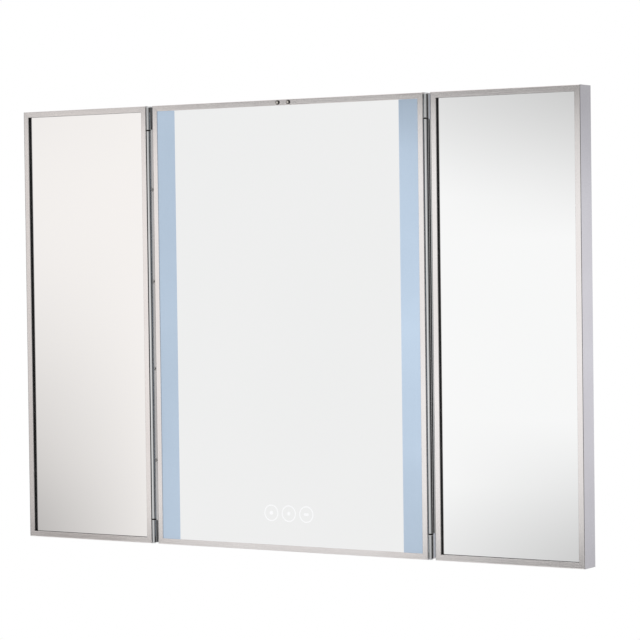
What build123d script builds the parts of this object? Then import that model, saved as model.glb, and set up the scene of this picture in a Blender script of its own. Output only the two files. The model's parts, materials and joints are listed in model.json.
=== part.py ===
from build123d import *

import os

# Tri-fold lighted wall mirror. Millimetres, +Z up, front faces -Y, wall plane at Y = 0.
# Saved parts have their origin at the centre of the wall cleat's back face. While building,
# Z is measured from the panels' mid-height, and save() lowers each part by ORIGIN_Z.

# ---- overall ----
HEIGHT = 762.0  # panel height, 30 in
CENTER_WIDTH = 540.0
CLOSING_GAP = 1.4  # between the free edges when both wings are shut
WING_WIDTH = (CENTER_WIDTH - CLOSING_GAP) / 2
HINGE_GAP = 14.0  # between the side walls of neighbouring frames
DEPTH = 38.0  # frame depth, front face to rear edge
WALL_CLEARANCE = 2.0  # frame's rear edge to the wall
FRONT_Y = -(DEPTH + WALL_CLEARANCE)
HALF_H = HEIGHT / 2
HALF_W = CENTER_WIDTH / 2
WING_CENTER_X = HALF_W + HINGE_GAP + WING_WIDTH / 2
FIT = 0.05  # radial clearance of a screw or pin in its hole
THROUGH = 8.0  # drill length that passes one wall or sheet

# ---- frame rails ----
FACE = 10.0  # visible rail face
WALL = 1.6  # extrusion wall
LEDGE_OUT = 9.0  # cover ledge reach from the outer face
EDGE_R = 1.3  # outer front edge
LIP_R = 0.3  # inner front edge
CENTER_LEDGE = 26.0  # depth of the centre's ledge
WING_LEDGE = 34.0
RECESS = 5.6  # wing glass behind the rail face
LIP_OUT = 8.8  # outer side of the wing's black gasket
LIP_IN = 7.6

# ---- glass and light windows ----
GLASS_EDGE = 2.6  # glass edge from the frame's outer face
CENTER_GLASS = 5.0
WING_GLASS = 4.0
WINDOW_IN = 46.0  # light window's inner edge from the outer face
GLASS_JOINT = 0.2
MARK_DEPTH = 0.3
BLOCK_XS = (-110.0, 110.0)  # rubber setting blocks along the top and bottom
BLOCK_ZS = (-160.0, 160.0)
BLOCK_LENGTH = 30.0
BLOCK_GAP = 0.2  # block to the side wall
BLOCK_REACH = 8.6  # inner face of a top or bottom block
SIDE_BLOCK_REACH = 7.8

# ---- touch controls ----
TOUCH_Z = -HALF_H + 64.0
TOUCH_PITCH = 35.0
RING_R = 14.0
RING_LINE = 1.8
DOT_R = 3.4
BAR = (10.0, 4.4)
TOUCH_BOARD = (112.0, 1.6, 30.0)
TOUCH_CHIP = (12.0, 1.6, 12.0)
TOUCH_CHIP_X = -24.0
TOUCH_PLUG = (16.0, 12.8, 14.0)
TOUCH_PLUG_X = 20.0
TOUCH_PLUG_Z = TOUCH_Z + 3.0

# ---- covers and corner keys ----
SHEET = 1.2
COVER_EDGE = 2.2  # cover edge from the outer face
KEY_T = 2.4
KEY_LEG = 32.0
KEY_WIDTH = 14.0
CENTER_KEY_DEPTH = 9.5
WING_KEY_DEPTH = 13.0
CORE_GAP = 0.4  # core board to the cover ledge
VENT_XS = (-130.0, 130.0)
VENT_ZS = (-60.0, 215.0)
VENT_COUNT = 6
VENT_PITCH = 9.0
VENT_SLOT = (36.0, 3.6)

# ---- lighting ----
CHANNEL_FROM = 10.0
CHANNEL_T = 1.2
CHANNEL_FLANGE = 12.0
CHANNEL_LENGTH = 732.0
BOARD_WIDTH = 12.0
BOARD_T = 1.2
BOARD_LENGTH = 716.0
CHIP = (3.0, 1.0, 3.0)
CHIP_PITCH = 25.0
CHIP_COUNT = 28
PLUG = (4.2, 5.2, 12.0)
DRIVER = (160.0, 16.0, 44.0)
DRIVER_Z = 40.0
DRIVER_CORNER_R = 4.0
DRIVER_EDGE_R = 1.5
DRIVER_TAB = (12.0, 2.0, 10.0)
DRIVER_TAB_X = DRIVER[0] / 2 + 4.0
DRIVER_TAB_HOLE_X = DRIVER[0] / 2 + 5.0
DRIVER_TAB_Z = DRIVER_Z - 16.0

# ---- wires ----
LEAD_R = 1.4
LEAD_HOLE_R = LEAD_R + 0.8
SUPPLY_BEND_R = 12.0
LIGHT_BEND_R = 14.0
TOUCH_BEND_R = 10.0
SUPPLY_LEVEL = 9.0  # supply wires above the back pan
TOUCH_LEVEL = 9.5
PLUG_LEVEL = 2.7  # light wires above the light board
SUPPLY_STEPS = (-3.0, 3.0)  # each supply wire from the middle of the pair
SUPPLY_DROP = 26.0  # below the junction cover
SUPPLY_OUT = 30.0  # beyond the driver's left end
LIGHT_WIRES = {1: (52.0, 50.0, 10.0), -1: (42.0, 30.0, -10.0)}  # driver height, reach, plug height
TOUCH_WIRE_Z = 32.0
TOUCH_WIRE_OUT = 20.0
TOUCH_WIRE_LOW = TOUCH_Z + 40.0

# ---- supply entry ----
ENTRY_Z = 150.0
ENTRY_R = 11.0
BUSHING_BORE_R = 8.0
BUSHING_FLANGE_R = 15.0
BUSHING_FLANGE_T = 2.0
BUSHING_DEPTH = 6.0
BUSHING_EDGE_R = 0.6
BOX = (120.0, 18.0, 80.0)
BOX_CORNER_R = 3.0
BOX_T = 1.0
BOX_NOTCH = (24.0, 9.0, 8.0)
TERMINAL = (44.0, 13.0, 20.0)
TERMINAL_X = -34.0
TERMINAL_BOTTOM = ENTRY_Z - 14.0
TERMINAL_BREAK = 2.5
SCREW_WELL = (6.0, 4.0, 6.0)
SCREW_WELL_PITCH = 14.0
SCREW_WELL_Z = ENTRY_Z - 4.0

# ---- hinges ----
BARREL_R = 4.4
BARREL_END = 2.5  # barrel end from the frame's top and bottom
END_KNUCKLE = 39.0
PIN_R = 2.0
PIN_CAP_R = 3.2
PIN_CAP_H = 1.6
PIN_CAP_TAPER = 25.0
BORE_R = PIN_R + FIT
WASHER_T = 2.4
WASHER_R = BARREL_R - 0.2
KNUCKLE_BREAK = 0.3  # broken edge at each knuckle end
LEAF_T = 1.5
LEAF_DEPTH = 30.0
LEAF_FRONT = 0.5  # web and its neck behind the frame faces
PLATE_FRONT = 6.0  # the rest of the leaf behind the frame faces
AXIS_OUT = 2.0  # pin axis in front of the frame faces
SCREW_DEPTH = 14.0  # leaf screws behind the front face
LEAF_SCREW_ZS = (-236.0, -76.0, 76.0, 236.0)

# ---- screws ----
SHANK_R = 2.0
SHANK_HOLE_R = SHANK_R + FIT
SHANK_L = 7.5
HEAD_R = 3.5
HEAD_H = 2.0
HEAD_TAPER = 14.0
CROSS = (3.6, 0.9)  # arms of the driver recess
CROSS_DEPTH = 1.1
SIDE_SCREW_ZS = (-250.0, 0.0, 250.0)
END_SCREW_XS = (-180.0, 0.0, 180.0)
CLEAT_SCREW_XS = (-190.0, -65.0, 65.0, 190.0)

# ---- closing magnets ----
MAGNET_X = 10.5
MAGNET_R = 3.75
MAGNET_H = 2.6
MAGNET_DOME_R = 2.2
MAGNET_STEM_R = 1.5
STRIKE = (20.0, 1.2, 5.4)
STRIKE_GAP = 0.3
STRIKE_BREAK = 0.8

# ---- hanging cleats ----
CLEAT_Z = 250.0
CLEAT_T = 2.0
CLEAT_LENGTH = 440.0
HANGING_LENGTH = 420.0
HOOK_RISE = 16.0
HOOK_GAP = 0.2  # hook to the wall plate
SEAT_GAP = 0.1
SLOT_WIDTH = 5.0
UPPER_PLATE = 26.0  # hanging cleat's plate above its jog
CLEAT_SCREW_Z = CLEAT_Z + 36.0
WALL_HOLE_PITCH = 406.4
WALL_HOLE_R = 3.0
WALL_PLATE = 26.0  # wall cleat's plate below its floor
ORIGIN_Z = CLEAT_Z + (CLEAT_T - WALL_PLATE) / 2
FOOT_R = 8.0
FOOT_TAPER = 6.0
FOOT_XS = (-200.0, 200.0)
FOOT_ZS = (-340.0, 340.0)

os.makedirs("parts", exist_ok=True)


def save(part, name):
    """Lower a finished sub-part to the saved origin, label it and write its own STEP file."""
    placed = part.moved(Location((0, 0, -ORIGIN_Z)))
    placed.label = name
    export_step(placed, f"parts/{name}.step")


def depth_plane(depth, x=0.0, z=0.0):
    """Plane parallel to the front, facing the viewer, at a depth behind the frame face."""
    return Plane(origin=(x, FRONT_Y + depth, z), x_dir=(1, 0, 0), z_dir=(0, -1, 0))


def rail(section, x, z, inward, half_length):
    """Mitred length of one closed section along a panel edge centred at (x, z)."""
    points, rounds = section
    plane = Plane(origin=(x, FRONT_Y, z), x_dir=inward, z_dir=Vector(*inward).cross(Vector(0, 1, 0)))
    along = plane.z_dir
    with BuildPart() as piece:
        with BuildSketch(plane) as profile:
            with BuildLine():
                Polyline(*points, close=True)
            make_face()
            for corner, radius in rounds:
                fillet(profile.vertices().sort_by_distance((*corner, 0))[0], radius)
        extrude(amount=half_length, both=True)
        for end in (1, -1):
            corner = plane.origin + along * (end * half_length)
            mitre = Plane(origin=corner, z_dir=along * end + Vector(*inward))
            split(bisect_by=mitre, keep=Keep.BOTTOM)
    return piece.part


def rail_section(ledge, lip):
    """Aluminium profile: face flange, side wall and rear ledge, with an inner lip on wings."""
    front = [(0, 0), (FACE, 0), (FACE, WALL)]
    if lip:
        front += [(LIP_OUT, WALL), (LIP_OUT, RECESS), (LIP_IN, RECESS), (LIP_IN, WALL)]
    back = [(WALL, WALL), (WALL, ledge), (LEDGE_OUT, ledge), (LEDGE_OUT, ledge + WALL)]
    back += [(WALL, ledge + WALL), (WALL, DEPTH), (0, DEPTH)]
    return front + back, [((0, 0), EDGE_R), ((FACE, 0), LIP_R)]


def box_at(low, high):
    """Plain block between two opposite corners, for use inside an open sub-part."""
    size = [abs(b - a) for a, b in zip(low, high)]
    middle = [(a + b) / 2 for a, b in zip(low, high)]
    with Locations(tuple(middle)):
        Box(*size)


def plate(x, half_w, z, half_h, front, back):
    """Flat sheet between two depths."""
    with BuildPart() as piece:
        box_at(
            (x - half_w, FRONT_Y + front, z - half_h),
            (x + half_w, FRONT_Y + back, z + half_h),
        )
    return piece.part


def screws(groups):
    """Pan-head screws; each group is the points under the heads and the way the heads face."""
    with BuildPart() as piece:
        for seats, head_out in groups:
            out = Vector(*head_out)
            for seat in seats:
                head = Plane(origin=seat, z_dir=out)
                with BuildSketch(head):
                    Circle(HEAD_R)
                extrude(amount=HEAD_H, taper=HEAD_TAPER)
                with BuildSketch(Plane(origin=Vector(*seat) + out * HEAD_H, z_dir=out)):
                    Rectangle(*CROSS)
                    Rectangle(*reversed(CROSS))
                extrude(amount=-CROSS_DEPTH, mode=Mode.SUBTRACT)
                with BuildSketch(head):
                    Circle(SHANK_R)
                extrude(amount=-SHANK_L)
    return piece.part


def drill(seats, way, radius, length):
    """Holes centred on each seat and reaching both ways, inside an open sub-part."""
    for seat in seats:
        with BuildSketch(Plane(origin=seat, z_dir=way)) as hole:
            Circle(radius)
        extrude(hole.sketch, amount=length / 2, both=True, mode=Mode.SUBTRACT)


def wires(routes):
    """Round wires, each along straight runs joined by tangent arcs of one radius."""
    with BuildPart() as bundle:
        for points, radius in routes:
            with BuildLine() as path:
                FilletPolyline(*points, radius=radius)
            start = Vector(*points[0])
            with BuildSketch(Plane(origin=start, z_dir=Vector(*points[1]) - start)) as round_wire:
                Circle(LEAD_R)
            sweep(round_wire.sketch, path=path.line)
    return bundle.part


def corner_keys(x, half_w, depth, name):
    """Four angle brackets that hold the mitres of one frame together."""
    with BuildPart() as keys:
        for sx in (-1, 1):
            for sz in (-1, 1):
                outer_x = x + sx * (half_w - WALL)
                outer_z = sz * (HALF_H - WALL)
                y0, y1 = FRONT_Y + depth, FRONT_Y + depth + KEY_WIDTH
                box_at((outer_x, y0, outer_z), (outer_x - sx * KEY_LEG, y1, outer_z - sz * KEY_T))
                box_at((outer_x, y0, outer_z), (outer_x - sx * KEY_T, y1, outer_z - sz * KEY_LEG))
    save(keys.part, name)


def frame(prefix, x, half_w, section, side_names, holes):
    """Four mitred rails round one panel; holes maps a rail name to its drilling lists."""
    places = {
        "rail_top": (x, HALF_H, (0, 0, -1), half_w),
        "rail_bottom": (x, -HALF_H, (0, 0, 1), half_w),
        side_names[0]: (x - half_w, 0, (1, 0, 0), HALF_H),
        side_names[1]: (x + half_w, 0, (-1, 0, 0), HALF_H),
    }
    for name, (cx, cz, inward, half_length) in places.items():
        bar = rail(section, cx, cz, inward, half_length)
        with BuildPart() as piece:
            add(bar)
            for seats, way, radius, length in holes.get(name, []):
                drill(seats, way, radius, length)
        save(piece.part, f"{prefix}_{name}")


def leaf_seats(side, from_wall):
    """Points under the leaf screw heads; from_wall is measured from the centre's side wall."""
    return [(side * (HALF_W + from_wall), FRONT_Y + SCREW_DEPTH, z) for z in LEAF_SCREW_ZS]


def along_pan(points):
    """Screw seats that lie on one rail, as a drilling list for that rail's ledge."""
    return [(points, (0, 1, 0), SHANK_HOLE_R, THROUGH)]


# ==== centre panel ====
pan_front_y = FRONT_Y + CENTER_LEDGE + WALL
pan_back_y = pan_front_y + SHEET
ledge_line = (WALL + LEDGE_OUT) / 2
pan_seats = [(sx * (HALF_W - ledge_line), pan_back_y, z) for sx in (-1, 1) for z in SIDE_SCREW_ZS]
pan_seats += [(x, pan_back_y, sz * (HALF_H - ledge_line)) for sz in (-1, 1) for x in END_SCREW_XS]
cleat_seats = [(x, pan_back_y + CLEAT_T, CLEAT_SCREW_Z) for x in CLEAT_SCREW_XS]
magnet_seats = [(sx * MAGNET_X, FRONT_Y, HALF_H - FACE / 2) for sx in (-1, 1)]
center_holes = {
    "rail_top": along_pan([s for s in pan_seats if s[2] > HALF_H - FACE])
    + [(magnet_seats, (0, 1, 0), MAGNET_STEM_R + FIT, 2 * (WALL + FIT))],
    "rail_bottom": along_pan([s for s in pan_seats if s[2] < FACE - HALF_H]),
    "rail_left": along_pan([s for s in pan_seats if s[0] < FACE - HALF_W])
    + [(leaf_seats(-1, 0), (1, 0, 0), SHANK_HOLE_R, THROUGH)],
    "rail_right": along_pan([s for s in pan_seats if s[0] > HALF_W - FACE])
    + [(leaf_seats(1, 0), (1, 0, 0), SHANK_HOLE_R, THROUGH)],
}
frame("center", 0, HALF_W, rail_section(CENTER_LEDGE, False), ("rail_left", "rail_right"), center_holes)
corner_keys(0, HALF_W, CENTER_KEY_DEPTH, "center_corner_keys")


def touch_mark(index):
    """One touch control's outline and its small centre mark, sketched at its own place."""
    x = (index - 1) * TOUCH_PITCH
    with BuildSketch(depth_plane(WALL, x, TOUCH_Z)) as mark:
        Circle(RING_R)
        Circle(RING_R - RING_LINE, mode=Mode.SUBTRACT)
        if index == 0:
            Circle(DOT_R)
        elif index == 1:
            RegularPolygon(DOT_R, 6)
        else:
            SlotOverall(*BAR)
    return mark.sketch


marks = [touch_mark(i) for i in range(3)]

glass_back = WALL + CENTER_GLASS
mirror_half = HALF_W - WINDOW_IN - GLASS_JOINT
with BuildPart() as center_mirror_glass:
    box_at(
        (-mirror_half, FRONT_Y + WALL, GLASS_EDGE - HALF_H),
        (mirror_half, FRONT_Y + glass_back, HALF_H - GLASS_EDGE),
    )
    for mark in marks:
        extrude(mark, amount=-MARK_DEPTH, mode=Mode.SUBTRACT)
save(center_mirror_glass.part, "center_mirror_glass")

with BuildPart() as touch_rings:
    for mark in marks:
        extrude(mark, amount=-MARK_DEPTH)
save(touch_rings.part, "touch_rings")

chip_x = HALF_W - (CHANNEL_FROM + WINDOW_IN) / 2
chip_y = pan_front_y - CHANNEL_T - BOARD_T - CHIP[1] / 2
chip_zs = [(i - (CHIP_COUNT - 1) / 2) * CHIP_PITCH for i in range(CHIP_COUNT)]
with BuildPart() as led_chips:
    with Locations(*[(sx * chip_x, chip_y, z) for sx in (-1, 1) for z in chip_zs]):
        Box(*CHIP)
save(led_chips.part, "led_chips")

board_y = pan_front_y - CHANNEL_T  # rear face of the light boards
light_wire_y = board_y - BOARD_T - PLUG_LEVEL

for side, word in ((-1, "left"), (1, "right")):
    window_x = side * (HALF_W - (GLASS_EDGE + WINDOW_IN) / 2)
    window = plate(window_x, (WINDOW_IN - GLASS_EDGE) / 2, 0, HALF_H - GLASS_EDGE, WALL, glass_back)
    save(window, f"light_window_{word}")

    # U channel: base on the back pan, inner wall flanged to carry the glass joint
    outer = side * (HALF_W - CHANNEL_FROM)
    inner = side * (HALF_W - WINDOW_IN)
    top_y = FRONT_Y + glass_back
    flange_x = inner - side * CHANNEL_FLANGE
    half_l = CHANNEL_LENGTH / 2
    plug_z = LIGHT_WIRES[side][2]
    with BuildPart() as channel:
        box_at((outer, board_y, -half_l), (inner, pan_front_y, half_l))
        box_at((outer, top_y, -half_l), (outer - side * CHANNEL_T, pan_front_y, half_l))
        box_at((inner, top_y, -half_l), (inner + side * CHANNEL_T, pan_front_y, half_l))
        box_at((inner, top_y, -half_l), (flange_x, top_y + CHANNEL_T, half_l))
        drill([(inner, light_wire_y, plug_z)], (1, 0, 0), LEAD_HOLE_R, THROUGH)
    save(channel.part, f"led_channel_{word}")

    board_x = (outer + inner) / 2
    plug_x = board_x - side * (BOARD_WIDTH - PLUG[0]) / 2
    with BuildPart() as board:
        with Locations((board_x, board_y - BOARD_T / 2, 0)):
            Box(BOARD_WIDTH, BOARD_T, BOARD_LENGTH)
        with Locations((plug_x, board_y - BOARD_T - PLUG[1] / 2, plug_z)):
            Box(*PLUG)
    save(board.part, f"led_board_{word}")

with BuildPart() as back_pan:
    box_at(
        (COVER_EDGE - HALF_W, pan_front_y, COVER_EDGE - HALF_H),
        (HALF_W - COVER_EDGE, pan_back_y, HALF_H - COVER_EDGE),
    )
    drill(pan_seats + cleat_seats, (0, 1, 0), SHANK_HOLE_R, THROUGH)
    drill([(0, pan_back_y, ENTRY_Z)], (0, 1, 0), ENTRY_R + 2 * FIT, THROUGH)
    with BuildSketch(Plane(origin=(0, pan_back_y, 0), x_dir=(1, 0, 0), z_dir=(0, -1, 0))):
        with Locations(*[(x, z) for x in VENT_XS for z in VENT_ZS]):
            with GridLocations(VENT_PITCH, 1, VENT_COUNT, 1):
                SlotOverall(*VENT_SLOT, rotation=90)
    extrude(amount=THROUGH / 2, both=True, mode=Mode.SUBTRACT)
save(back_pan.part, "back_pan")

save(screws([(pan_seats + cleat_seats, (0, 1, 0))]), "back_screws")

with BuildPart() as glass_blocks:
    block_front = FRONT_Y + glass_back
    block_back = FRONT_Y + CENTER_LEDGE
    half_block = BLOCK_LENGTH / 2
    wall_gap = WALL + BLOCK_GAP
    for side in (-1, 1):
        for x in BLOCK_XS:
            box_at(
                (x - half_block, block_front, side * (HALF_H - wall_gap)),
                (x + half_block, block_back, side * (HALF_H - BLOCK_REACH)),
            )
        for z in BLOCK_ZS:
            box_at(
                (side * (HALF_W - wall_gap), block_front, z - half_block),
                (side * (HALF_W - SIDE_BLOCK_REACH), block_back, z + half_block),
            )
save(glass_blocks.part, "glass_blocks")

with BuildPart() as closing_magnets:
    for seat in magnet_seats:
        with BuildSketch(Plane(origin=seat, z_dir=(0, -1, 0))):
            Circle(MAGNET_R)
        extrude(amount=MAGNET_H)
        with BuildSketch(Plane(origin=seat, z_dir=(0, 1, 0))):
            Circle(MAGNET_STEM_R)
        extrude(amount=WALL)
    fillet(closing_magnets.edges().group_by(Axis.Y)[0], MAGNET_DOME_R)
save(closing_magnets.part, "closing_magnets")

with BuildPart() as touch_board:
    solder_y = FRONT_Y + glass_back + TOUCH_BOARD[1]
    with Locations((0, solder_y - TOUCH_BOARD[1] / 2, TOUCH_Z)):
        Box(*TOUCH_BOARD)
    with Locations((TOUCH_PLUG_X, solder_y + TOUCH_PLUG[1] / 2, TOUCH_PLUG_Z)):
        Box(*TOUCH_PLUG)
    with Locations((TOUCH_CHIP_X, solder_y + TOUCH_CHIP[1] / 2, TOUCH_Z)):
        Box(*TOUCH_CHIP)
save(touch_board.part, "touch_board")

with BuildPart() as led_driver:
    half_x, depth, half_z = DRIVER[0] / 2, DRIVER[1], DRIVER[2] / 2
    box_at((-half_x, pan_front_y - depth, DRIVER_Z - half_z), (half_x, pan_front_y, DRIVER_Z + half_z))
    fillet(led_driver.edges().filter_by(Axis.Y), DRIVER_CORNER_R)
    fillet(led_driver.faces().sort_by(Axis.Y)[0].edges(), DRIVER_EDGE_R)
    tab_y = pan_front_y - DRIVER_TAB[1] / 2
    with Locations((-DRIVER_TAB_X, tab_y, DRIVER_TAB_Z), (DRIVER_TAB_X, tab_y, DRIVER_TAB_Z)):
        Box(*DRIVER_TAB)
    tab_seats = [(sx * DRIVER_TAB_HOLE_X, pan_front_y, DRIVER_TAB_Z) for sx in (-1, 1)]
    drill(tab_seats, (0, 1, 0), SHANK_HOLE_R, THROUGH)
save(led_driver.part, "led_driver")

box_bottom = ENTRY_Z - BOX[2] / 2
with BuildPart() as junction_cover:
    with Locations((0, pan_front_y - BOX[1] / 2, ENTRY_Z)):
        Box(*BOX)
    fillet(junction_cover.edges().filter_by(Axis.Y), BOX_CORNER_R)
    offset(amount=-BOX_T, openings=junction_cover.faces().sort_by(Axis.Y)[-1])
    with Locations((TERMINAL_X, pan_front_y - SUPPLY_LEVEL, box_bottom)):
        Box(*BOX_NOTCH, mode=Mode.SUBTRACT)
save(junction_cover.part, "junction_cover")

terminal_z = TERMINAL_BOTTOM + TERMINAL[2] / 2
with BuildPart() as terminal_block:
    with Locations((TERMINAL_X, pan_front_y - TERMINAL[1] / 2, terminal_z)):
        Box(*TERMINAL)
    chamfer(terminal_block.edges().group_by(Axis.Y)[0].filter_by(Axis.X), TERMINAL_BREAK)
    well_xs = [TERMINAL_X + i * SCREW_WELL_PITCH for i in (-1, 0, 1)]
    with Locations(*[(x, pan_front_y - TERMINAL[1], SCREW_WELL_Z) for x in well_xs]):
        Box(*SCREW_WELL, mode=Mode.SUBTRACT)
save(terminal_block.part, "terminal_block")

with BuildPart() as entry_bushing:
    with BuildSketch(Plane(origin=(0, pan_back_y, ENTRY_Z), z_dir=(0, 1, 0))):
        Circle(BUSHING_FLANGE_R)
    extrude(amount=BUSHING_FLANGE_T)
    with BuildSketch(Plane(origin=(0, pan_back_y, ENTRY_Z), z_dir=(0, -1, 0))):
        Circle(ENTRY_R)
    extrude(amount=BUSHING_DEPTH)
    drill([(0, pan_back_y, ENTRY_Z)], (0, 1, 0), BUSHING_BORE_R, 4 * BUSHING_DEPTH)
    fillet(entry_bushing.edges().filter_by(GeomType.CIRCLE).group_by(Axis.Y)[-1], BUSHING_EDGE_R)
save(entry_bushing.part, "entry_bushing")

with BuildPart() as wall_feet:
    for x in FOOT_XS:
        for z in FOOT_ZS:
            with BuildSketch(Plane(origin=(x, pan_back_y, z), z_dir=(0, 1, 0))):
                Circle(FOOT_R)
            extrude(amount=-pan_back_y, taper=FOOT_TAPER)
save(wall_feet.part, "wall_feet")


def supply_route(step):
    """Terminal block, out through the cover's notch, round to the driver's left end."""
    y = pan_front_y - SUPPLY_LEVEL
    turn_x = -DRIVER[0] / 2 - SUPPLY_OUT + step
    drop_z = box_bottom - SUPPLY_DROP - step
    return [
        (TERMINAL_X + step, y, TERMINAL_BOTTOM),
        (TERMINAL_X + step, y, drop_z),
        (turn_x, y, drop_z),
        (turn_x, y, DRIVER_Z + step),
        (-DRIVER[0] / 2, y, DRIVER_Z + step),
    ]


def light_route(side):
    """Driver's right end to one light board's plug."""
    z, reach, plug_z = LIGHT_WIRES[side]
    turn_x = DRIVER[0] / 2 + reach
    plug_end = side * (chip_x - BOARD_WIDTH / 2)
    corners = [(DRIVER[0] / 2, z), (turn_x, z), (turn_x, plug_z), (plug_end, plug_z)]
    return [(x, light_wire_y, z) for x, z in corners]


touch_y = pan_front_y - TOUCH_LEVEL
touch_turn = DRIVER[0] / 2 + TOUCH_WIRE_OUT
touch_route = [
    (DRIVER[0] / 2, touch_y, TOUCH_WIRE_Z),
    (touch_turn, touch_y, TOUCH_WIRE_Z),
    (touch_turn, touch_y, TOUCH_WIRE_LOW),
    (TOUCH_PLUG_X, touch_y, TOUCH_WIRE_LOW),
    (TOUCH_PLUG_X, touch_y, TOUCH_PLUG_Z + TOUCH_PLUG[2] / 2),
]
save(wires([(supply_route(step), SUPPLY_BEND_R) for step in SUPPLY_STEPS]), "supply_leads")
low_voltage = [(light_route(side), LIGHT_BEND_R) for side in (1, -1)] + [(touch_route, TOUCH_BEND_R)]
save(wires(low_voltage), "low_voltage_leads")


# ==== cleats ====
def hook_bar(outline, length, name, seats, hole_r):
    """Bent sheet bar of one (y, z) outline about the cleat height, with holes through it."""
    with BuildPart() as bar:
        with BuildSketch(Plane(origin=(0, 0, CLEAT_Z), x_dir=(0, 1, 0), z_dir=(1, 0, 0))):
            with BuildLine():
                Polyline(*outline, close=True)
            make_face()
        extrude(amount=length / 2, both=True)
        drill(seats, (0, 1, 0), hole_r, THROUGH)
    save(bar.part, name)


# wall cleat: plate on the wall, floor and upstand in front of it
lip_y = -(CLEAT_T + SLOT_WIDTH)
lip_back = lip_y + CLEAT_T
lip_top = HOOK_RISE + CLEAT_T
wall_outline = [(0, -WALL_PLATE), (0, CLEAT_T), (lip_back, CLEAT_T), (lip_back, lip_top)]
wall_outline += [(lip_y, lip_top), (lip_y, 0), (-CLEAT_T, 0), (-CLEAT_T, -WALL_PLATE)]
wall_seats = [(sx * WALL_HOLE_PITCH / 2, 0, ORIGIN_Z) for sx in (-1, 1)]
hook_bar(wall_outline, CLEAT_LENGTH, "wall_cleat", wall_seats, WALL_HOLE_R)

# hanging cleat: plate on the back pan, jogged back so its lower edge drops into the wall cleat
hook_y = -CLEAT_T - HOOK_GAP
seat_z = CLEAT_T + SEAT_GAP
jog_z = HOOK_RISE + 2 * CLEAT_T
upper_y = pan_back_y + CLEAT_T
upper_top = jog_z + UPPER_PLATE
hook_outline = [(hook_y, seat_z), (hook_y, jog_z + CLEAT_T), (upper_y, jog_z + CLEAT_T)]
hook_outline += [(upper_y, upper_top), (pan_back_y, upper_top), (pan_back_y, jog_z)]
hook_outline += [(hook_y - CLEAT_T, jog_z), (hook_y - CLEAT_T, seat_z)]
hook_bar(hook_outline, HANGING_LENGTH, "hanging_cleat", cleat_seats, SHANK_HOLE_R)


# ==== hinges ====
barrel_half = HALF_H - BARREL_END
knuckle_z = barrel_half - END_KNUCKLE
wing_knuckle = knuckle_z - WASHER_T - FIT
axis_y = FRONT_Y - AXIS_OUT


def knuckle(axis_x, low, high):
    """Round barrel of one leaf between two heights, with broken end edges."""
    with BuildPart() as barrel:
        with BuildSketch(Plane(origin=(axis_x, axis_y, low), z_dir=(0, 0, 1))):
            Circle(BARREL_R)
        extrude(amount=high - low)
        chamfer(barrel.edges().filter_by(GeomType.CIRCLE), KNUCKLE_BREAK)
    return barrel.part


def hinge_leaf(side, wall_x, into_gap, spans, bore_r, seats, name):
    """Plate on one side wall with a knuckle, joined by a neck and web, over each height span."""
    axis_x = side * (HALF_W + HINGE_GAP / 2)
    plate_x = wall_x + into_gap * LEAF_T
    web_y = FRONT_Y + LEAF_FRONT
    plate_y = FRONT_Y + PLATE_FRONT
    barrels = [knuckle(axis_x, low, high) for low, high in spans]
    with BuildPart() as leaf:
        box_at((wall_x, plate_y, -barrel_half), (plate_x, FRONT_Y + LEAF_DEPTH, barrel_half))
        for low, high in spans:
            box_at((wall_x, web_y, low), (plate_x, plate_y, high))
            box_at((wall_x, web_y, low), (axis_x, web_y + LEAF_T, high))
        add(barrels)
        drill([(axis_x, axis_y, 0)], (0, 0, 1), bore_r, 2 * HEIGHT)
        drill(seats, (1, 0, 0), SHANK_HOLE_R, THROUGH)
    save(leaf.part, name)


fixed_groups = [(leaf_seats(side, LEAF_T), (side, 0, 0)) for side in (-1, 1)]
save(screws(fixed_groups), "hinge_fixed_screws")

for side, word in ((-1, "left"), (1, "right")):
    axis_x = side * (HALF_W + HINGE_GAP / 2)
    end_spans = [(knuckle_z, barrel_half), (-barrel_half, -knuckle_z)]
    fixed_seats = leaf_seats(side, 0)
    hinge_leaf(side, side * HALF_W, side, end_spans, PIN_R, fixed_seats, f"{word}_hinge_fixed_leaf")
    wing_wall = side * (HALF_W + HINGE_GAP)
    wing_spans = [(-wing_knuckle, wing_knuckle)]
    wing_seats = leaf_seats(side, HINGE_GAP)
    hinge_leaf(side, wing_wall, -side, wing_spans, BORE_R, wing_seats, f"{word}_hinge_wing_leaf")

    with BuildPart() as pin:
        with BuildSketch(Plane(origin=(axis_x, axis_y, -barrel_half), z_dir=(0, 0, 1))):
            Circle(PIN_R)
        extrude(amount=2 * barrel_half)
        for end in (-1, 1):
            with BuildSketch(Plane(origin=(axis_x, axis_y, end * barrel_half), z_dir=(0, 0, end))):
                Circle(PIN_CAP_R)
            extrude(amount=PIN_CAP_H, taper=PIN_CAP_TAPER)
    save(pin.part, f"{word}_hinge_pin")

    with BuildPart() as washers:
        for low in (knuckle_z - WASHER_T, -knuckle_z):
            with BuildSketch(Plane(origin=(axis_x, axis_y, low), z_dir=(0, 0, 1))):
                Circle(WASHER_R)
                Circle(BORE_R, mode=Mode.SUBTRACT)
            extrude(amount=WASHER_T)
    save(washers.part, f"{word}_hinge_washers")


# ==== wings ====
def wing_gasket(x, half_w):
    """Black strip between the face flange and the lip, mitred round the glass opening."""
    section = ([(LIP_OUT, WALL), (FACE, WALL), (FACE, RECESS), (LIP_OUT, RECESS)], [])
    strips = []
    for end in (-1, 1):
        strips.append(rail(section, x, end * HALF_H, (0, 0, -end), half_w))
        strips.append(rail(section, x + end * half_w, 0, (-end, 0, 0), HALF_H))
    with BuildPart() as gasket:
        add(strips)
    return gasket.part


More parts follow.
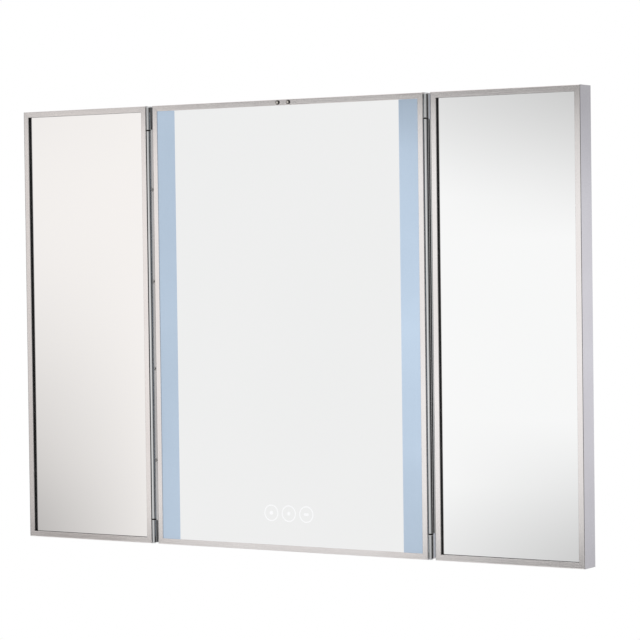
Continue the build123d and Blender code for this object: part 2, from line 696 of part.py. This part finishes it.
def wing(side, word):
    """One side mirror: frame, corner keys, mirror glass in a black gasket, core and cover."""
    prefix = f"{word}_wing"
    x = side * WING_CENTER_X
    half_w = WING_WIDTH / 2
    free_x = x + side * half_w
    hinge_x = x - side * half_w
    cover_y = FRONT_Y + WING_LEDGE + WALL + SHEET
    cover_seats = {
        "rail_top": [(x, cover_y, HALF_H - ledge_line)],
        "rail_bottom": [(x, cover_y, ledge_line - HALF_H)],
        "rail_free": [(free_x - side * ledge_line, cover_y, z) for z in SIDE_SCREW_ZS],
        "rail_hinge": [(hinge_x + side * ledge_line, cover_y, z) for z in SIDE_SCREW_ZS],
    }
    leaf_holes = leaf_seats(side, HINGE_GAP)
    holes = {name: along_pan(seats) for name, seats in cover_seats.items()}
    holes["rail_hinge"].append((leaf_holes, (1, 0, 0), SHANK_HOLE_R, THROUGH))
    side_names = ("rail_hinge", "rail_free") if side > 0 else ("rail_free", "rail_hinge")
    frame(prefix, x, half_w, rail_section(WING_LEDGE, True), side_names, holes)
    corner_keys(x, half_w, WING_KEY_DEPTH, f"{prefix}_corner_keys")
    save(wing_gasket(x, half_w), f"{prefix}_gasket")
    glass_half_w = half_w - GLASS_EDGE
    glass_half_h = HALF_H - GLASS_EDGE
    glass = plate(x, glass_half_w, 0, glass_half_h, RECESS, RECESS + WING_GLASS)
    save(glass, f"{prefix}_glass")

    core_front = RECESS + WING_GLASS
    core_back = WING_LEDGE + WALL
    core_edge = LEDGE_OUT + CORE_GAP
    core = plate(x, half_w - core_edge, 0, HALF_H - core_edge, core_front, core_back)
    save(core, f"{prefix}_core_board")

    with BuildPart() as cover:
        box_at(
            (x - half_w + COVER_EDGE, cover_y - SHEET, COVER_EDGE - HALF_H),
            (x + half_w - COVER_EDGE, cover_y, HALF_H - COVER_EDGE),
        )
        for seats in cover_seats.values():
            drill(seats, (0, 1, 0), SHANK_HOLE_R, THROUGH)
    save(cover.part, f"{prefix}_back_cover")

    groups = [(seats, (0, 1, 0)) for seats in cover_seats.values()]
    groups.append((leaf_seats(side, HINGE_GAP - LEAF_T), (-side, 0, 0)))
    save(screws(groups), f"{prefix}_screws")

    strike_x = free_x - side * GLASS_EDGE
    strike_y = FRONT_Y + WALL
    strike_top = HALF_H - WALL - STRIKE_GAP
    with BuildPart() as strike:
        box_at(
            (strike_x, strike_y, strike_top),
            (strike_x - side * STRIKE[0], strike_y + STRIKE[1], strike_top - STRIKE[2]),
        )
        chamfer(strike.edges().filter_by(Axis.Y), STRIKE_BREAK)
    save(strike.part, f"{prefix}_strike")


for side, word in ((-1, "left"), (1, "right")):
    wing(side, word)
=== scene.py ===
import json
import math

import bpy
from mathutils import Matrix, Vector

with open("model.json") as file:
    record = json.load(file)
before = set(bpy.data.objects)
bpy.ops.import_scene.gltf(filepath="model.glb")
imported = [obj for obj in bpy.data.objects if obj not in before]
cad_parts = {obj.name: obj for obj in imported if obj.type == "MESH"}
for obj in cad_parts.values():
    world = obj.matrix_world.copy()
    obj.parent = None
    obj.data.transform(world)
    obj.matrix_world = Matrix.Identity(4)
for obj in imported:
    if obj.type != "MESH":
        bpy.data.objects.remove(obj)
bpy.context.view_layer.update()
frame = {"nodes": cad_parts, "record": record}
nodes = frame["nodes"]

# ---- where things are, in metres ----
PANEL_Z = -0.238  # mid-height of the panels
FACE_Y = -0.040  # front face of the frames
HALF_H = 0.381
HALF_W = 0.270
HINGE_GAP = 0.014
WING_WIDTH = 0.2693
GAP_X = HALF_W + HINGE_GAP / 2
END_X = HALF_W + HINGE_GAP + WING_WIDTH

# sockets of a Mix node that mixes colours
MIX_A, MIX_B, MIX_RESULT = 6, 7, 2


# ---- material helpers ----
class Shader:
    """A node material with one Principled shader and short ways to add to it."""

    def __init__(self, name):
        self.material = bpy.data.materials.new(name)
        self.material.use_nodes = True
        self.tree = self.material.node_tree
        self.main = self.tree.nodes["Principled BSDF"]

    def node(self, kind, **settings):
        made = self.tree.nodes.new(kind)
        for key, value in settings.items():
            if key in made.inputs:
                made.inputs[key].default_value = value
            else:
                setattr(made, key, value)
        return made

    def link(self, source, target):
        self.tree.links.new(source, target)

    def set(self, **values):
        for key, value in values.items():
            self.main.inputs[key.replace("_", " ")].default_value = value

    def place(self, scale=(1, 1, 1)):
        """Object coordinates in metres, stretched by scale."""
        coords = self.node("ShaderNodeTexCoord")
        mapping = self.node("ShaderNodeMapping", Scale=scale)
        self.link(coords.outputs["Object"], mapping.inputs["Vector"])
        return mapping.outputs["Vector"]

    def noise(self, scale, stretch=(1, 1, 1), detail=4.0, rough=0.55):
        made = self.node("ShaderNodeTexNoise", Scale=scale, Detail=detail, Roughness=rough)
        self.link(self.place(stretch), made.inputs["Vector"])
        return made.outputs["Fac"]

    def ramp(self, value, stops):
        """Maps 0..1 to the colours of the stops, each (position, (r, g, b))."""
        made = self.node("ShaderNodeValToRGB")
        elements = made.color_ramp.elements
        while len(elements) < len(stops):
            elements.new(0.5)
        for element, (position, colour) in zip(elements, stops):
            element.position = position
            element.color = (*colour, 1)
        self.link(value, made.inputs["Fac"])
        return made.outputs["Color"]

    def span(self, value, low, high, out_low, out_high):
        """Maps low..high to out_low..out_high, clamped."""
        made = self.node("ShaderNodeMapRange")
        made.inputs["From Min"].default_value = low
        made.inputs["From Max"].default_value = high
        made.inputs["To Min"].default_value = out_low
        made.inputs["To Max"].default_value = out_high
        self.link(value, made.inputs["Value"])
        return made.outputs["Result"]

    def bump(self, height, strength, distance):
        made = self.node("ShaderNodeBump", Strength=strength, Distance=distance)
        self.link(height, made.inputs["Height"])
        self.link(made.outputs["Normal"], self.main.inputs["Normal"])

    def edge(self, radius=0.0006):
        """0 on flat surface, rising towards 1 along sharp edges."""
        bevel = self.node("ShaderNodeBevel", Radius=radius)
        geometry = self.node("ShaderNodeNewGeometry")
        dot = self.node("ShaderNodeVectorMath", operation="DOT_PRODUCT")
        self.link(bevel.outputs["Normal"], dot.inputs[0])
        self.link(geometry.outputs["Normal"], dot.inputs[1])
        return self.span(dot.outputs["Value"], 0.7, 0.98, 1.0, 0.0)

    def painted_crevice_shade(self, reach, darkest):
        """Painted shade: 1 in the open, falling to darkest deep in narrow gaps."""
        shade = self.node("ShaderNodeAmbientOcclusion", samples=8, Distance=reach)
        return self.span(shade.outputs["AO"], 0.15, 0.75, darkest, 1.0)

    def darken(self, colour, factor):
        made = self.node("ShaderNodeMix", data_type="RGBA", blend_type="MULTIPLY")
        made.inputs["Factor"].default_value = 1.0
        self.link(colour, made.inputs[MIX_A])
        self.link(factor, made.inputs[MIX_B])
        return made.outputs[MIX_RESULT]

    def blend(self, factor, first, second):
        """first where factor is 0, second where it is 1; each is an output or an (r, g, b)."""
        made = self.node("ShaderNodeMix", data_type="RGBA")
        self.link(factor, made.inputs["Factor"])
        for socket, colour in ((made.inputs[MIX_A], first), (made.inputs[MIX_B], second)):
            if isinstance(colour, tuple):
                socket.default_value = (*colour, 1)
            else:
                self.link(colour, socket)
        return made.outputs[MIX_RESULT]

    def colour(self, output):
        self.link(output, self.main.inputs["Base Color"])

    def roughness(self, output):
        self.link(output, self.main.inputs["Roughness"])


PLAIN = (1, 1, 1)  # stretch of an even texture
UPRIGHT = (1, 1, 0.02)  # stretch of a grain that runs along Z
LEVEL = (0.02, 1, 1)  # stretch of a grain that runs along X
RUBBED = (0.88, 0.85, 0.83)


def polished(name, light, dark, rough=(0.10, 0.22), grain=PLAIN, edge_wear_and_shade=RUBBED, gap_shade=0.0, reach=0.002):
    """Drawn metal: faint grain along its length, cloudy tone, a tone along its edges, and painted shade
    in its crevices.

    The edge tone is wear where it is lighter and painted shade where it is darker. The crevice darkening
    is painted shade: its strength is how much the crevices darken, and reach how wide a gap still counts
    as one.
    """
    s = Shader(name)
    s.set(Metallic=1.0)
    cloud = s.ramp(s.noise(5.0, detail=3.0), [(0.30, dark), (0.72, light)])
    # edge tone: lighter wear by default, darker painted shade on the frame
    tone = s.blend(s.edge(), cloud, edge_wear_and_shade)
    if gap_shade:
        # painted shade: the tone is darkened in narrow gaps
        tone = s.darken(tone, s.painted_crevice_shade(reach, 1.0 - gap_shade))
    s.colour(tone)
    fine = s.noise(900.0, grain, detail=2.0)
    s.roughness(s.span(fine, 0.3, 0.7, *rough))
    s.bump(fine, 0.035, 0.0004)
    return s.material


def painted_highlight_button(name, flank, crown_highlight):
    """Dark plated button whose front carries a painted highlight: a bright tone where the surface faces
    the front.
    """
    s = Shader(name)
    s.set(Metallic=1.0)
    geometry = s.node("ShaderNodeNewGeometry")
    parts = s.node("ShaderNodeSeparateXYZ")
    s.link(geometry.outputs["Normal"], parts.inputs["Vector"])
    # painted highlight: bright tone where the surface faces the front
    highlight_mask = s.span(parts.outputs["Y"], -0.90, -0.99, 0.0, 1.0)
    s.colour(s.blend(highlight_mask, flank, crown_highlight))
    s.roughness(s.span(s.noise(600.0), 0.3, 0.7, 0.12, 0.2))
    return s.material


def coated(name, base, speck, rough=0.42, peel=420.0, metal=0.0, depth=0.10):
    """Sprayed or moulded surface: orange-peel bump, fine speckle and lighter edges."""
    s = Shader(name)
    s.set(Metallic=metal, Specular_IOR_Level=0.45)
    mottle = s.ramp(s.noise(60.0, detail=6.0), [(0.35, base), (0.65, speck)])
    # edges get a lighter tone than the rest
    lighter_edge = tuple(min(1.0, c * 1.25 + 0.03) for c in base)
    s.colour(s.blend(s.edge(0.0005), mottle, lighter_edge))
    s.roughness(s.span(s.noise(35.0), 0.3, 0.7, rough - 0.06, rough + 0.08))
    s.bump(s.noise(peel, detail=3.0), depth, 0.0006)
    return s.material


def galvanised(name, dark, light):
    """Zinc spangle: flat crystals of slightly different brightness."""
    s = Shader(name)
    s.set(Metallic=0.9)
    cells = s.node("ShaderNodeTexVoronoi", Scale=150.0)
    s.link(s.place(), cells.inputs["Vector"])
    tone = s.node("ShaderNodeSeparateColor")
    s.link(cells.outputs["Color"], tone.inputs["Color"])
    s.colour(s.ramp(tone.outputs["Red"], [(0.0, dark), (1.0, light)]))
    s.roughness(s.span(tone.outputs["Green"], 0.0, 1.0, 0.28, 0.5))
    s.bump(s.noise(500.0), 0.05, 0.0004)
    return s.material


def silvered(name):
    """Mirror: silver behind clear glass, with barely visible wiping marks."""
    s = Shader(name)
    s.set(Metallic=1.0, IOR=1.5)
    s.colour(s.ramp(s.noise(3.0, detail=2.0), [(0.2, (0.925, 0.93, 0.928)), (0.8, (0.94, 0.942, 0.94))]))
    wipes = s.noise(18.0, (1, 1, 0.35), detail=8.0, rough=0.7)
    s.roughness(s.span(wipes, 0.62, 0.8, 0.008, 0.035))
    return s.material


# light of the right window at fractions of its height; the left one is even
WINDOW_LEFT = 0.77
WINDOW_LEVELS = ((0.0, 0.70), (0.25, 0.90), (0.5, 1.0), (0.75, 0.92), (0.88, 0.80), (1.0, 0.50))


def lit_window(name):
    """Frosted glass lit from behind by a row of chips: pale blue."""
    s = Shader(name)
    s.set(Roughness=0.32, Specular_IOR_Level=0.4, Emission_Strength=0.675)
    frost = s.noise(700.0, detail=2.0)
    s.colour(s.ramp(frost, [(0.3, (0.24, 0.29, 0.35)), (0.7, (0.29, 0.34, 0.40))]))
    glow = s.ramp(s.noise(7.0, detail=2.0), [(0.3, (0.53, 0.665, 0.83)), (0.7, (0.58, 0.72, 0.89))])
    where = s.node("ShaderNodeSeparateXYZ")
    s.link(s.place(), where.inputs["Vector"])
    up = s.span(where.outputs["Z"], PANEL_Z - HALF_H, PANEL_Z + HALF_H, 0.0, 1.0)
    right = s.span(where.outputs["X"], -HALF_W, HALF_W, 0.0, 1.0)
    falloff = s.ramp(up, [(place, (level, level, level)) for place, level in WINDOW_LEVELS])
    row = s.blend(right, (WINDOW_LEFT, WINDOW_LEFT, WINDOW_LEFT), falloff)
    s.link(s.darken(glow, row), s.main.inputs["Emission Color"])
    s.bump(frost, 0.12, 0.0003)
    return s.material


def glowing_mark(name):
    """Etched touch mark lit from behind."""
    s = Shader(name)
    s.set(Roughness=0.4, Emission_Strength=0.90, Specular_IOR_Level=0.3)
    frost = s.noise(900.0)
    s.colour(s.ramp(frost, [(0.3, (0.12, 0.12, 0.125)), (0.7, (0.16, 0.16, 0.165))]))
    glow = s.ramp(frost, [(0.3, (0.93, 0.94, 0.95)), (0.7, (0.98, 0.98, 0.99))])
    s.link(glow, s.main.inputs["Emission Color"])
    return s.material


def circuit(name, mask, trace):
    """Solder mask over copper: straight traces, slightly raised."""
    s = Shader(name)
    s.set(Coat_Weight=0.3)
    bricks = s.node("ShaderNodeTexBrick", Scale=1.0)
    bricks.inputs["Brick Width"].default_value = 0.011
    bricks.inputs["Row Height"].default_value = 0.0035
    bricks.inputs["Mortar Size"].default_value = 0.0005
    turned = s.node("ShaderNodeMapping")
    turned.inputs["Rotation"].default_value = (math.pi / 2, 0, 0)
    s.link(s.place(), turned.inputs["Vector"])
    s.link(turned.outputs["Vector"], bricks.inputs["Vector"])
    s.colour(s.blend(bricks.outputs["Fac"], mask, trace))
    s.roughness(s.span(s.noise(80.0), 0.3, 0.7, 0.3, 0.45))
    s.bump(bricks.outputs["Fac"], 0.3, 0.0002)
    return s.material


def paper_core(name):
    """Honeycomb board: paper skin with a faint cell print-through."""
    s = Shader(name)
    s.set(Roughness=0.85)
    cells = s.node("ShaderNodeTexVoronoi", Scale=90.0, Randomness=0.1, feature="DISTANCE_TO_EDGE")
    s.link(s.place(), cells.inputs["Vector"])
    fibre = s.noise(250.0, (1, 1, 6), detail=6.0)
    s.colour(s.ramp(fibre, [(0.3, (0.52, 0.43, 0.30)), (0.7, (0.64, 0.54, 0.39))]))
    s.bump(cells.outputs["Distance"], 0.2, 0.0008)
    return s.material


FRAME_LIGHT = (0.93, 0.895, 0.882)
FRAME_DARK = (0.85, 0.805, 0.792)
# painted shade: dark tone along the frame rails' edges, for the dark outlines they show
FRAME_EDGE_SHADE = (0.50, 0.48, 0.47)
FRAME_ROUGH = (0.11, 0.15)
HINGE_LIGHT, HINGE_DARK = (0.74, 0.745, 0.75), (0.66, 0.665, 0.67)
MILL_LIGHT, MILL_DARK = (0.80, 0.80, 0.81), (0.70, 0.70, 0.71)

# ---- materials, by the record's material slots; level rails have their own grain ----
materials = {
    # the frame's dark edges are painted shade
    "polished_frame": polished(
        "frame_polished_upright",
        FRAME_LIGHT,
        FRAME_DARK,
        FRAME_ROUGH,
        UPRIGHT,
        edge_wear_and_shade=FRAME_EDGE_SHADE,
        # painted shade in the gaps beside the hinges
        gap_shade=0.75,
        reach=HINGE_GAP,
    ),
    # painted shade on the level rails' edges as well
    "polished_frame_level": polished(
        "frame_polished_level", FRAME_LIGHT, FRAME_DARK, FRAME_ROUGH, LEVEL, edge_wear_and_shade=FRAME_EDGE_SHADE
    ),
    # the hinge's darkened crevices are painted shade
    "hinge_chrome": polished(
        "hinge_polished", HINGE_LIGHT, HINGE_DARK, (0.05, 0.09), UPRIGHT, gap_shade=0.95, reach=0.005
    ),
    # the magnets' bright fronts are a painted highlight
    "dark_chrome": painted_highlight_button("dark_chrome", (0.06, 0.056, 0.052), (0.80, 0.75, 0.70)),
    "zinc": galvanised("zinc_plate", (0.55, 0.56, 0.58), (0.70, 0.71, 0.72)),
    "cleat_steel": galvanised("galvanised_cleat", (0.50, 0.52, 0.54), (0.68, 0.69, 0.70)),
    "screw_steel": polished("screw_zinc", (0.66, 0.65, 0.62), (0.52, 0.51, 0.50), (0.2, 0.34)),
    "mill_aluminium": polished("channel_aluminium", MILL_LIGHT, MILL_DARK, (0.28, 0.42), UPRIGHT),
    "mirror_glass": silvered("silvered_glass"),
    "frosted_glass": lit_window("frosted_window"),
    "touch_mark": glowing_mark("touch_mark_glow"),
    "coated_sheet": coated("powder_coat", (0.70, 0.71, 0.72), (0.73, 0.74, 0.75)),
    "driver_case": coated("driver_moulding", (0.78, 0.78, 0.76), (0.82, 0.82, 0.80), 0.5, 700.0),
    "terminal_plastic": coated("terminal_moulding", (0.78, 0.74, 0.62), (0.83, 0.79, 0.68), 0.45, 800.0),
    "black_plastic": coated("black_moulding", (0.018, 0.018, 0.020), (0.028, 0.028, 0.030), 0.45, 800.0),
    "nylon": coated("black_nylon", (0.006, 0.006, 0.006), (0.012, 0.012, 0.012), 0.6, 900.0),
    "black_rubber": coated(
        "black_rubber", (0.003, 0.003, 0.003), (0.007, 0.007, 0.007), 0.75, 600.0, depth=0.2
    ),
    "grey_foam": coated("grey_foam", (0.06, 0.06, 0.065), (0.11, 0.11, 0.115), 0.85, 300.0, depth=0.5),
    "led_chip": coated("chip_phosphor", (0.85, 0.70, 0.20), (0.90, 0.78, 0.30), 0.35, 900.0),
    "white_board": circuit("white_board", (0.84, 0.84, 0.82), (0.74, 0.74, 0.71)),
    "green_board": circuit("green_board", (0.015, 0.11, 0.045), (0.03, 0.17, 0.07)),
    "supply_insulation": coated("supply_wire", (0.03, 0.03, 0.032), (0.045, 0.045, 0.048), 0.38, 900.0),
    "lead_insulation": coated("lead_wire", (0.74, 0.74, 0.72), (0.80, 0.80, 0.78), 0.38, 900.0),
    "core_paper": paper_core("honeycomb_core"),
}

slot_of = {part["node"]: part["material_slot"] for part in frame["record"]["subparts"]}
for name, node in nodes.items():
    finish = slot_of[name]
    if name.endswith(("rail_top", "rail_bottom")):
        finish += "_level"
    for holder in node.material_slots:
        holder.material = materials[finish]


# ---- studio ----
# Soft light comes from the room and from cards in front of the object, where its mirrors see them.
def light_material(name):
    """Material that only shines, with its node tree, its colour socket and its X, Y, Z outputs."""
    material = bpy.data.materials.new(name)
    material.use_nodes = True
    tree = material.node_tree
    tree.nodes.clear()
    output = tree.nodes.new("ShaderNodeOutputMaterial")
    glow = tree.nodes.new("ShaderNodeEmission")
    glow.inputs["Strength"].default_value = 1.0
    tree.links.new(glow.outputs["Emission"], output.inputs["Surface"])
    coords = tree.nodes.new("ShaderNodeTexCoord")
    split = tree.nodes.new("ShaderNodeSeparateXYZ")
    tree.links.new(coords.outputs["Object"], split.inputs["Vector"])
    return material, tree, glow.inputs["Color"], split.outputs


def rectangle(name, corners, material):
    """Flat staging piece that is not part of the object."""
    mesh = bpy.data.meshes.new(name)
    mesh.from_pydata([tuple(c) for c in corners], [], [tuple(range(len(corners)))])
    made = bpy.data.objects.new(name, mesh)
    bpy.context.collection.objects.link(made)
    mesh.materials.append(material)
    return made


CAMERA_AT = Vector((2.3387, -3.6750, -0.1145))
CAMERA_YAW, CAMERA_PITCH, CAMERA_ROLL = math.radians(31.991), math.radians(1.514), math.radians(0.735)
CAMERA_LENS = 144.45
CARD_Y = -5.0


def seen_in_mirror(x, z):
    """Where the camera's view of the mirror point (x, z) lands on the card plane."""
    grow = (FACE_Y - CARD_Y) / (FACE_Y - CAMERA_AT.y) + 1
    x_there = CAMERA_AT.x + (x - CAMERA_AT.x) * grow
    z_there = CAMERA_AT.z + (z - CAMERA_AT.z) * grow
    return Vector((x_there, CARD_Y, z_there))


def level_ramp(tree, height, levels):
    """Colour ramp over a card's height; levels run from its lower to its upper edge."""
    ramp = tree.nodes.new("ShaderNodeValToRGB")
    ramp.color_ramp.interpolation = "B_SPLINE"
    elements = ramp.color_ramp.elements
    while len(elements) < len(levels):
        elements.new(0.5)
    for index, (element, level) in enumerate(zip(elements, levels)):
        element.position = index / (len(levels) - 1)
        element.color = (*level, 1)
    tree.links.new(height, ramp.inputs["Fac"])
    return ramp.outputs["Color"]


def card_fraction(tree, coordinate, near, far):
    """0 to 1 as the coordinate goes from near to far."""
    spread = tree.nodes.new("ShaderNodeMapRange")
    spread.inputs["From Min"].default_value = near
    spread.inputs["From Max"].default_value = far
    tree.links.new(coordinate, spread.inputs["Value"])
    return spread.outputs["Result"]


def card(name, start, end, low, high, material):
    """Standing card between two floor points (x, y) that the camera doesn't see directly."""
    made = rectangle(name, [(*start, low), (*end, low), (*end, high), (*start, high)], material)
    made.visible_camera = False
    return made


def softbox(name, x_low, x_high, left_levels, right_levels, spill=(0.0, 0.0)):
    """Card that one panel mirrors, graded down its left and right edges and blended between.

    spill is how far, in metres, the card runs on past its panel's left and right edges.
    """
    material, tree, colour, place = light_material(name)
    low = seen_in_mirror(x_low, PANEL_Z - HALF_H)
    high = seen_in_mirror(x_high, PANEL_Z + HALF_H)
    height = card_fraction(tree, place["Z"], low.z, high.z)
    across = card_fraction(tree, place["X"], low.x, high.x)
    blend = tree.nodes.new("ShaderNodeMix")
    blend.data_type = "RGBA"
    tree.links.new(across, blend.inputs["Factor"])
    tree.links.new(level_ramp(tree, height, left_levels), blend.inputs[MIX_A])
    tree.links.new(level_ramp(tree, height, right_levels), blend.inputs[MIX_B])
    tree.links.new(blend.outputs[MIX_RESULT], colour)
    card(name, (low.x - spill[0], CARD_Y), (high.x + spill[1], CARD_Y), low.z, high.z, material)


def tones(tint, *levels):
    """The same tint at several levels."""
    return [tuple(level * part for part in tint) for level in levels]


ROOM_FRONT, ROOM_BEHIND = 0.58, 0.95  # light levels of the room
OVERHEAD = 1.9  # how much brighter it is straight up
DARK_SIDES = 0.03  # how dark it is far to the left and right
NEUTRAL = (1.0, 1.0, 1.0)
WARM = (1.005, 0.97, 0.95)
LAVENDER = (0.965, 0.99, 1.08)
PAST_END = 0.01  # how far past the wings' free edges their softboxes are measured
SPILL_LEFT, SPILL_RIGHT = 0.02, 3.6
softbox(
    "softbox_right",
    GAP_X,
    END_X + PAST_END,
    tones(NEUTRAL, 0.84, 1.02, 1.09, 1.12, 1.07, 0.97, 0.75),
    tones(NEUTRAL, 0.57, 0.86, 1.04, 1.12, 1.03, 0.85, 0.58),
    (0.0, SPILL_RIGHT),
)
softbox("softbox_centre", -GAP_X, GAP_X, tones(NEUTRAL, 0.92, 0.92), tones(NEUTRAL, 0.92, 0.92))
softbox(
    "softbox_left",
    -END_X - PAST_END,
    -GAP_X,
    tones(WARM, 0.46, 0.67, 0.77, 0.88, 0.95, 0.96, 0.92),
    tones(WARM, 0.90, 0.93, 0.95, 0.97, 0.97, 0.98, 0.97),
    (SPILL_LEFT, 0.0),
)


def graded_card(name, start, end, low, high, levels):
    """Card between two floor points, graded from its lower to its upper edge."""
    material, tree, colour, place = light_material(name)
    height = card_fraction(tree, place["Z"], low, high)
    tree.links.new(level_ramp(tree, height, levels), colour)
    return card(name, start, end, low, high, material)


# Flags over and under the softboxes darken what the rails and hinges mirror.
STAGE_LOW = seen_in_mirror(0, PANEL_Z - HALF_H).z
STAGE_HIGH = seen_in_mirror(0, PANEL_Z + HALF_H).z
FLAG_REACH = 0.65
FLAG_FADE = (0.0, 0.1, 0.45, 1.0)  # from a flag's own tone at the softbox to the room's tone
# left edge, right edge, tone next to the softboxes above them, and below them
FLAGS = (
    ("left", seen_in_mirror(-END_X, 0).x - SPILL_LEFT, seen_in_mirror(-GAP_X, 0).x, 0.45, 0.0),
    ("centre", seen_in_mirror(-GAP_X, 0).x, seen_in_mirror(GAP_X, 0).x, 0.08, 0.60),
    ("right", seen_in_mirror(GAP_X, 0).x, seen_in_mirror(END_X, 0).x + SPILL_RIGHT, 0.0, 0.0),
)


def flag(name, left, right, low, high, levels):
    """Graded card over or under a softbox that only reflections see."""
    made = graded_card(name, (left, CARD_Y), (right, CARD_Y), low, high, tones(NEUTRAL, *levels))
    made.visible_diffuse = False
    made.visible_shadow = False


def faded(tone):
    """Levels of a flag from its softbox outwards."""
    return [tone + (ROOM_FRONT - tone) * share for share in FLAG_FADE]


for word, left, right, above, below in FLAGS:
    flag(f"flag_above_{word}", left, right, STAGE_HIGH, STAGE_HIGH + FLAG_REACH, faded(above))
    flag(f"flag_below_{word}", left, right, STAGE_LOW - FLAG_REACH, STAGE_LOW, reversed(faded(below)))

# card behind the object: the right wing's side wall mirrors it
BACK_LOW, BACK_HIGH = PANEL_Z - 0.78, PANEL_Z + 0.60
BACK_START, BACK_END = (0.9, 2.9), (3.6, 1.4)
BACK_TONES = tones(LAVENDER, 0.46, 0.64, 0.71, 0.74, 0.74, 0.58, 0.36)
graded_card("card_behind", BACK_START, BACK_END, BACK_LOW, BACK_HIGH, BACK_TONES)

# ---- room: white to the camera, and toned by direction for reflections and light ----
world = bpy.data.worlds.new("studio")
bpy.context.scene.world = world
world.use_nodes = True
sky = world.node_tree
background = sky.nodes["Background"]
background.inputs["Color"].default_value = (1, 1, 1, 1)
room = sky.nodes.new("ShaderNodeBackground")
direction = sky.nodes.new("ShaderNodeTexCoord")
split_direction = sky.nodes.new("ShaderNodeSeparateXYZ")


def room_factor(source, low, high, out_low, out_high):
    """Light factor over one component of the view direction, clamped."""
    made = sky.nodes.new("ShaderNodeMapRange")
    made.inputs["From Min"].default_value = low
    made.inputs["From Max"].default_value = high
    made.inputs["To Min"].default_value = out_low
    made.inputs["To Max"].default_value = out_high
    sky.links.new(source, made.inputs["Value"])
    return made.outputs["Result"]


def room_math(operation, *sources):
    made = sky.nodes.new("ShaderNodeMath")
    made.operation = operation
    for source, socket in zip(sources, made.inputs):
        sky.links.new(source, socket)
    return made.outputs["Value"]


# each factor changes over a range of one component of the direction, from -1 to 1
depth = room_factor(split_direction.outputs["Y"], -0.6, 0.4, ROOM_FRONT, ROOM_BEHIND)
sides = room_factor(room_math("ABSOLUTE", split_direction.outputs["X"]), 0.72, 0.93, 1.0, DARK_SIDES)
above = room_factor(split_direction.outputs["Z"], 0.55, 0.95, 1.0, OVERHEAD)
room_level = room_math("MULTIPLY", room_math("MULTIPLY", depth, sides), above)
seen = sky.nodes.new("ShaderNodeLightPath")
either = sky.nodes.new("ShaderNodeMixShader")
sky.links.new(direction.outputs["Generated"], split_direction.inputs["Vector"])
sky.links.new(room_level, room.inputs["Strength"])
sky.links.new(seen.outputs["Is Camera Ray"], either.inputs["Fac"])
sky.links.new(room.outputs["Background"], either.inputs[1])
sky.links.new(background.outputs["Background"], either.inputs[2])
sky.links.new(either.outputs["Shader"], sky.nodes["World Output"].inputs["Surface"])

# ---- floor and camera ----
floor = coated("studio_floor", (0.86, 0.86, 0.86), (0.88, 0.88, 0.88), 0.6, 90.0, depth=0.02)
FLOOR_Z = -1.5
FLOOR_SIDE, FLOOR_FRONT, FLOOR_BACK = 5, -4, 3
rectangle(
    "floor",
    [
        (-FLOOR_SIDE, FLOOR_FRONT, FLOOR_Z),
        (FLOOR_SIDE, FLOOR_FRONT, FLOOR_Z),
        (FLOOR_SIDE, FLOOR_BACK, FLOOR_Z),
        (-FLOOR_SIDE, FLOOR_BACK, FLOOR_Z),
    ],
    floor,
)

camera = bpy.data.objects.new("camera", bpy.data.cameras.new("camera"))
bpy.context.collection.objects.link(camera)
camera.data.lens = CAMERA_LENS
camera.data.sensor_width = 36.0
turn = Matrix.Rotation(CAMERA_YAW, 4, "Z") @ Matrix.Rotation(math.pi / 2 - CAMERA_PITCH, 4, "X")
turn = turn @ Matrix.Rotation(-CAMERA_ROLL, 4, "Z")
camera.matrix_world = Matrix.Translation(CAMERA_AT) @ turn
bpy.context.scene.camera = camera
bpy.context.scene.view_settings.view_transform = "Standard"
